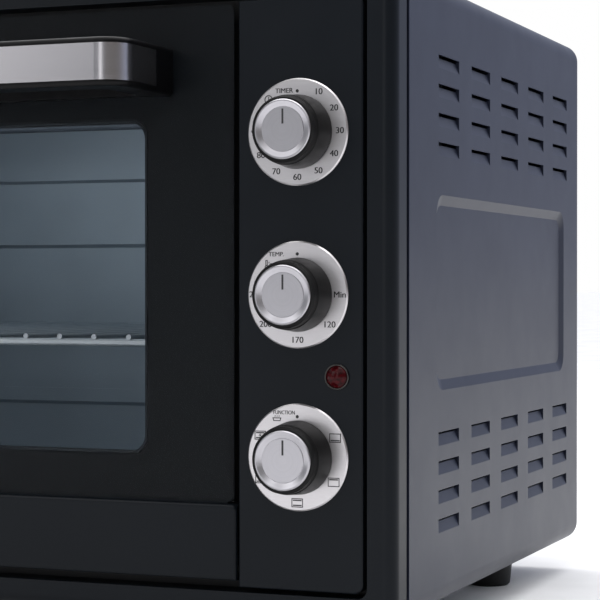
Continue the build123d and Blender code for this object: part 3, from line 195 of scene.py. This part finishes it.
FRONT_ENAMEL = enamel("front_enamel", (0.0042, 0.0058, 0.0082), 0.33, 0.135)
CASING_PAINT = enamel("casing_paint", (0.0160, 0.0192, 0.034), 0.36, 0.19)
ZINC = sheet_metal("zinc_sheet", (0.50, 0.51, 0.53), 0.42)
DARK_SHEET = enamel("dark_sheet", (0.005, 0.005, 0.006), 0.5, 0.3)
CAVITY = sheet_metal("cavity_steel", (0.30, 0.36, 0.41), 0.5, spangle=30.0, contrast=0.05, metallic=0.55)
FRAME_SHEET = enamel("door_frame_sheet", (0.014, 0.0165, 0.020), 0.7, 0.06)
GLASS = tinted_glass()
PRINT = enamel("glass_print", (0.0030, 0.0038, 0.0048), 0.42, 0.06, peel=0.000001)
DIAL_METAL = brushed("dial_metal", (0.62, 0.60, 0.61), 0.30, (30, 1, 1))
HANDLE_STEEL = brushed("handle_steel", (0.46, 0.447, 0.465), 0.25, (60, 60, 1))
KNOB_PLASTIC = moulded("knob_plastic", (0.0045, 0.0045, 0.0048), 0.42, specular=0.16)
HANDLE_PLASTIC = moulded("handle_plastic", (0.0022, 0.0022, 0.0026), 0.34, specular=0.13)
SWITCH_PLASTIC = moulded("switch_body", (0.05, 0.045, 0.04), 0.45)
FOOT_RUBBER = moulded("foot_rubber", (0.006, 0.0065, 0.007), 0.6, grain=1500.0, specular=0.3)
SLEEVE = moulded("wire_sleeve", (0.42, 0.42, 0.40), 0.7, grain=3500.0, depth=0.0002)
CERAMIC = moulded("ceramic", (0.78, 0.76, 0.70), 0.25, grain=300.0)
CHROME = bright_metal("bright_metal", (0.75, 0.75, 0.76), 0.18)
LAMP_RIM = bright_metal("lamp_rim", (0.055, 0.052, 0.050), 0.3)
RACK_CHROME = bright_metal("rack_wire", (0.33, 0.37, 0.40), 0.34, metallic=0.6)
HEATER = bright_metal("heater_sheath", (0.078, 0.095, 0.120), 0.62, metallic=0.4)
LENS = lens_red()
INK = moulded("dial_ink", (0.012, 0.012, 0.013), 0.55)

LOOKS = {
    FRONT_ENAMEL: ("front_bezel", "control_panel", "door_bottom_rail"),
    CASING_PAINT: ("side_panel_left", "side_panel_right", "top_cover", "rear_cover"),
    ZINC: ("base_plate", "bay_partition", "door_stay_left", "door_stay_right",
           "hinge_bracket_left", "hinge_bracket_right"),
    DARK_SHEET: ("front_plate",),
    FRAME_SHEET: ("door_frame",),
    CAVITY: ("cavity_floor", "cavity_roof", "cavity_back_wall", "cavity_left_wall", "cavity_right_wall"),
    GLASS: ("door_glass",),
    PRINT: ("door_glass_print",),
    DIAL_METAL: ("timer_dial", "temp_dial", "function_dial"),
    HANDLE_STEEL: ("handle_trim",),
    KNOB_PLASTIC: ("timer_knob", "temp_knob", "function_knob"),
    HANDLE_PLASTIC: ("handle_body",),
    SWITCH_PLASTIC: ("timer_unit", "thermostat_unit", "selector_switch", "neon_lamp"),
    FOOT_RUBBER: ("foot_front_left", "foot_front_right", "foot_rear_left", "foot_rear_right", "cord_gland"),
    SLEEVE: ("wiring_loom",),
    CERAMIC: ("heater_insulators", "terminal_block"),
    CHROME: ("rear_screws", "foot_screws", "handle_screws", "hinge_pins", "door_spring", "sensor_bulb",
             "timer_shaft", "temp_shaft", "function_shaft"),
    LAMP_RIM: ("lamp_bezel",),
    RACK_CHROME: ("wire_rack",),
    HEATER: ("upper_heaters", "lower_heaters"),
    LENS: ("indicator_lens",),
}
for material, node_names in LOOKS.items():
    for node_name in node_names:
        NODES[node_name].data.materials.clear()
        NODES[node_name].data.materials.append(material)


def middle(node):
    low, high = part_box(node)
    return (low + high) / 2


CAP_COLOR = (0.46, 0.45, 0.475)
CAP_ROUGHNESS = 0.30
KNOBS = ("timer", "temp", "function")
for knob in KNOBS:
    cap = NODES[f"{knob}_knob_cap"]
    cap.data.materials.clear()
    cap_middle = middle(f"{knob}_knob_cap")
    cap.data.materials.append(spun(f"{knob}_cap_metal", CAP_COLOR, CAP_ROUGHNESS, cap_middle))


# ------------------------------------------------------------------ dial prints
PRINT_THICKNESS = 0.05 * MM
NUMBER_RADIUS = 25.3 * MM
DIGIT_SIZE = 4.9 * MM
LETTER_WIDTH = 1.03
LETTER_WEIGHT = 0.022       # each letter is laid down twice, this share of its size to either side
STROKE = 0.50 * MM
FINE_STROKE = 0.28 * MM
HEAVY_STROKE = 0.70 * MM
OVEN_ICON_HALF = (3.2 * MM, 2.3 * MM)
OVEN_ICON_INSET = 0.9 * MM
FAN_RADIUS = 0.9 * MM


def place_on_face(mesh_build, flat_points, matrix):
    """Add a closed thin prism over a flat outline given in the plane of a dial face."""
    front = [mesh_build.verts.new(matrix @ Vector((x, z, PRINT_THICKNESS))) for x, z in flat_points]
    back = [mesh_build.verts.new(matrix @ Vector((x, z, 0.0))) for x, z in flat_points]
    mesh_build.faces.new(front)
    mesh_build.faces.new(list(reversed(back)))
    for i in range(len(front)):
        j = (i + 1) % len(front)
        mesh_build.faces.new((front[j], front[i], back[i], back[j]))


def stroke(mesh_build, points, matrix, width=STROKE, closed=False):
    """A pen line along points, as one thin bar for each segment."""
    ends = points[1:] + points[:1] if closed else points[1:]
    for (x0, z0), (x1, z1) in zip(points, ends):
        along = Vector((x1 - x0, z1 - z0)).normalized() * width / 2
        across = Vector((-along.y, along.x))
        a = Vector((x0, z0)) - along
        b = Vector((x1, z1)) + along
        place_on_face(mesh_build, [a - across, b - across, b + across, a + across], matrix)


def round_points(radius, centre=(0.0, 0.0), count=28, start=0.0, sweep=360.0):
    """Points along an arc, anticlockwise from start degrees."""
    steps = count if sweep >= 360 else count - 1
    return [
        (centre[0] + radius * math.cos(math.radians(start + sweep * i / steps)),
         centre[1] + radius * math.sin(math.radians(start + sweep * i / steps)))
        for i in range(count)
    ]


def lettering(mesh_build, text, size, matrix, width=LETTER_WIDTH):
    """Text centred on the matrix's origin, as solid letters."""
    curve = bpy.data.curves.new("lettering", "FONT")
    curve.body = text
    curve.size = 1.0        # made at full size, then scaled down, so that the outlines fill cleanly
    curve.align_x = "CENTER"
    curve.align_y = "CENTER"
    curve.extrude = PRINT_THICKNESS / (2 * size)
    carrier = bpy.data.objects.new("lettering", curve)
    bpy.context.scene.collection.objects.link(carrier)
    bpy.context.view_layer.update()
    letters = bpy.data.meshes.new_from_object(carrier.evaluated_get(bpy.context.evaluated_depsgraph_get()))
    shrink = Matrix.Diagonal((size * width, size, size, 1))
    letters.transform(matrix @ Matrix.Translation((-LETTER_WEIGHT * size, 0, PRINT_THICKNESS / 2)) @ shrink)
    mesh_build.from_mesh(letters)
    letters.transform(matrix @ Matrix.Translation((2 * LETTER_WEIGHT * size, 0, 0)) @ matrix.inverted())
    mesh_build.from_mesh(letters)
    bpy.data.objects.remove(carrier)
    bpy.data.curves.remove(curve)
    bpy.data.meshes.remove(letters)


def finish_mesh(name, mesh_build, material, body):
    """Turn a build into an object that rides on body and takes its finish from slot."""
    bmesh.ops.remove_doubles(mesh_build, verts=mesh_build.verts, dist=1e-7)
    bmesh.ops.recalc_face_normals(mesh_build, faces=mesh_build.faces)
    mesh = bpy.data.meshes.new(name)
    mesh_build.to_mesh(mesh)
    mesh_build.free()
    mesh.materials.append(material)
    obj = bpy.data.objects.new(name, mesh)
    bpy.context.scene.collection.objects.link(obj)
    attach(obj, body)


def face_matrix(node):
    """Frame on the front face of a turned node: x to the right, y up, z towards the front."""
    centre = middle(node)
    centre.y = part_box(node)[0].y
    return Matrix.Translation(centre) @ Matrix.Rotation(math.radians(90), 4, "X")


def at_clock(face, degrees, radius=NUMBER_RADIUS):
    """Move a face frame to a place on the dial, measured clockwise from the top."""
    angle = math.radians(degrees)
    return face @ Matrix.Translation((radius * math.sin(angle), radius * math.cos(angle), 0))


def clock_icon(build, place):
    """A clock face with two hands."""
    stroke(build, round_points(2.2 * MM), place, closed=True)
    stroke(build, [(0, 1.3 * MM), (0, 0), (1.0 * MM, 0)], place)


def thermometer_icon(build, place):
    """A thermometer with the degree ring and C beside it."""
    stroke(build, round_points(0.8 * MM, (0, -1.6 * MM)), place, closed=True)
    tube = [(-0.45, -0.9), (-0.45, 2.0), (0.45, 2.0), (0.45, -0.9)]
    stroke(build, [(x * MM, z * MM) for x, z in tube], place)
    lettering(build, "C", 2.6 * MM, place @ Matrix.Translation((2.6 * MM, -0.6 * MM, 0)))
    stroke(build, round_points(0.35 * MM, (1.5 * MM, 0.8 * MM), count=12), place, 0.2 * MM, closed=True)


def dish_icon(build, place):
    """A pan with steam over it."""
    pan = [(-1.9, -1.8), (1.9, -1.8), (2.4, -0.3), (-2.4, -0.3)]
    stroke(build, [(x * MM, z * MM) for x, z in pan], place, closed=True)
    for x in (-1.2, 0.0, 1.2):
        steam = [(x, 0.2), (x + 0.25, 0.5), (x, 0.8), (x + 0.25, 1.1)]
        stroke(build, [(px * MM, pz * MM) for px, pz in steam], place, FINE_STROKE)


def oven_icon(build, place, top=False, bottom=False, fan=False):
    """Cavity outline with a heavy line for each heater that is on."""
    w, h = OVEN_ICON_HALF
    inset = OVEN_ICON_INSET
    stroke(build, [(-w, -h), (w, -h), (w, h), (-w, h)], place, closed=True)
    if top:
        stroke(build, [(-w + inset, h - inset), (w - inset, h - inset)], place, HEAVY_STROKE)
    if bottom:
        stroke(build, [(-w + inset, -h + inset), (w - inset, -h + inset)], place, HEAVY_STROKE)
    if fan:
        for turn in (15, 75, 135):
            blade = (FAN_RADIUS * math.cos(math.radians(turn)), FAN_RADIUS * math.sin(math.radians(turn)))
            stroke(build, [(-blade[0], -blade[1]), blade], place, FINE_STROKE)


DOT_RADIUS = 22.8 * MM
DOT_SIZE = 0.95 * MM


def dial_print(knob, word, word_size, word_width, word_place, marks, icons):
    """Everything printed on one dial: its word and dot at the top, marks and icons at clockwise degrees.

    The word's size and place from the dial's middle are in millimetres.
    """
    face = face_matrix(f"{knob}_dial")
    build = bmesh.new()
    place_on_face(build, round_points(DOT_SIZE), at_clock(face, 0, DOT_RADIUS))
    word_matrix = face @ Matrix.Translation((word_place[0] * MM, word_place[1] * MM, 0))
    lettering(build, word, word_size * MM, word_matrix, word_width)
    for degrees, text in marks:
        lettering(build, text, DIGIT_SIZE, at_clock(face, degrees))
    for degrees, draw in icons:
        draw(build, at_clock(face, degrees))
    finish_mesh(f"{knob}_dial_print", build, INK, "case")


TIMER_STEP_DEGREES = 30     # for each ten minutes
dial_print(
    "timer", "TIMER", word_size=3.8, word_width=1.03, word_place=(-7.9, 23.1),
    marks=[(TIMER_STEP_DEGREES * i, str(10 * i)) for i in range(1, 10)],
    icons=[(317, clock_icon)],
)
dial_print(
    "temp", "TEMP.", word_size=3.5, word_width=1.03, word_place=(-12.6, 22.6),
    marks=[(90, "Min"), (131, "120"), (180, "170"), (229, "200"), (270, "230")],
    icons=[(313, thermometer_icon)],
)
dial_print(
    "function", "FUNCTION", word_size=3.1, word_width=0.83, word_place=(-7.9, 24.9),
    marks=[],
    icons=[
        (331, dish_icon),
        (63, lambda build, place: oven_icon(build, place, bottom=True)),
        (121, lambda build, place: oven_icon(build, place, top=True)),
        (180, lambda build, place: oven_icon(build, place, top=True, bottom=True)),
        (240, lambda build, place: oven_icon(build, place, bottom=True, fan=True)),
        (298, lambda build, place: oven_icon(build, place, top=True, bottom=True, fan=True)),
    ],
)

POINTER_INNER = 3.5 * MM
POINTER_OUTER = 10.6 * MM
POINTER_WIDTH = 1.15 * MM
CAP_RIM_RISE = 0.9 * MM     # the flat middle of a cap lies this far behind its rim
for knob in KNOBS:
    face = face_matrix(f"{knob}_knob_cap") @ Matrix.Translation((0, 0, -CAP_RIM_RISE))
    build = bmesh.new()
    stroke(build, [(0, POINTER_INNER), (0, POINTER_OUTER)], face, POINTER_WIDTH)
    finish_mesh(f"{knob}_pointer", build, INK, f"{knob}_control")


# ------------------------------------------------------------------ studio
FLOOR_HALF = 60.0
floor_mesh = bpy.data.meshes.new("floor")
floor_corners = [(x * FLOOR_HALF, y * FLOOR_HALF, 0) for x, y in ((-1, -1), (1, -1), (1, 1), (-1, 1))]
floor_mesh.from_pydata(floor_corners, [], [(0, 1, 2, 3)])
floor = bpy.data.objects.new("floor", floor_mesh)
floor_mesh.materials.append(enamel("pale_floor", (0.92, 0.92, 0.925), 0.7, 0.3, peel=0.000001))
bpy.context.scene.collection.objects.link(floor)


def softbox(name, place, target, size, power, color=(1, 1, 1)):
    """A rectangular studio lamp facing target; size in metres, power in watts."""
    light = bpy.data.lights.new(name, "AREA")
    light.shape = "RECTANGLE"
    light.size, light.size_y = size
    light.energy = power
    light.color = color
    obj = bpy.data.objects.new(name, light)
    obj.location = place
    obj.rotation_euler = (Vector(target) - Vector(place)).to_track_quat("-Z", "Y").to_euler()
    bpy.context.scene.collection.objects.link(obj)


OVEN_MIDDLE = (0, 0, 0.2)
softbox("overhead", place=(0.0, 0.2, 2.4), target=OVEN_MIDDLE, size=(2.6, 2.2), power=36.0)
softbox("front_left", place=(-1.6, -2.2, 1.3), target=OVEN_MIDDLE, size=(1.2, 1.6), power=8.5)
softbox("front_strip", place=(0.15, -3.0, 1.0), target=(0.1, 0, 0.2), size=(0.5, 2.4), power=6.5)
softbox(
    "cavity_fill", place=(-0.04, -0.02, 0.315), target=(-0.04, 0.05, 0.1), size=(0.36, 0.2), power=0.20,
    color=(0.86, 0.94, 1.0),
)

# World: white for the camera. For light: bright above and behind, dimmer in front, dark at the front right.
world = bpy.data.worlds.new("studio")
bpy.context.scene.world = world
world.use_nodes = True
nodes = world.node_tree.nodes
links = world.node_tree.links
background = nodes["Background"]
direction = nodes.new("ShaderNodeTexCoord")
split = nodes.new("ShaderNodeSeparateXYZ")
links.new(direction.outputs["Generated"], split.inputs["Vector"])


def sky_mix(axis, low, high, first, second):
    """Blend two sky colours along one axis of the view direction; each is a colour or another blend."""
    place = nodes.new("ShaderNodeMapRange")
    place.interpolation_type = "SMOOTHSTEP"
    place.inputs["From Min"].default_value = low
    place.inputs["From Max"].default_value = high
    links.new(split.outputs[axis], place.inputs["Value"])
    blend = nodes.new("ShaderNodeMix")
    blend.data_type = "RGBA"
    links.new(place.outputs["Result"], blend.inputs["Factor"])
    for socket, part in (("A", first), ("B", second)):
        if isinstance(part, tuple):
            blend.inputs[socket].default_value = (*part, 1)
        else:
            links.new(part, blend.inputs[socket])
    return blend.outputs["Result"]


FRONT_LEFT_SKY = (0.20, 0.21, 0.225)
FRONT_RIGHT_SKY = (0.10, 0.085, 0.07)
BEHIND_SKY = (0.48, 0.53, 0.70)
OVERHEAD_SKY = (1.4, 1.4, 1.42)
front_sky = sky_mix("X", 0.12, 0.42, FRONT_LEFT_SKY, FRONT_RIGHT_SKY)
level_sky = sky_mix("Y", -0.45, 0.55, front_sky, BEHIND_SKY)
links.new(sky_mix("Z", 0.30, 0.75, level_sky, OVERHEAD_SKY), background.inputs["Color"])
seen = nodes.new("ShaderNodeBackground")
seen.inputs["Color"].default_value = (1.0, 1.0, 1.0, 1)
path = nodes.new("ShaderNodeLightPath")
mix = nodes.new("ShaderNodeMixShader")
links.new(path.outputs["Is Camera Ray"], mix.inputs["Fac"])
links.new(background.outputs["Background"], mix.inputs[1])
links.new(seen.outputs["Background"], mix.inputs[2])
links.new(mix.outputs["Shader"], nodes["World Output"].inputs["Surface"])

CAMERA_PLACE = (0.6465, -1.1973, 0.2115)
CAMERA_YAW = 21.54
CAMERA_PITCH = -0.424
LENS_MM = 117.89
SENSOR_MM = 36.0
CLIP_START = 0.01
camera_data = bpy.data.cameras.new("camera")
camera_data.sensor_width = SENSOR_MM
camera_data.lens = LENS_MM
camera_data.clip_start = CLIP_START
camera = bpy.data.objects.new("camera", camera_data)
camera.location = CAMERA_PLACE
camera.rotation_euler = (math.radians(90 + CAMERA_PITCH), 0, math.radians(CAMERA_YAW))
bpy.context.scene.collection.objects.link(camera)
bpy.context.scene.camera = camera
bpy.context.scene.view_settings.view_transform = "Standard"
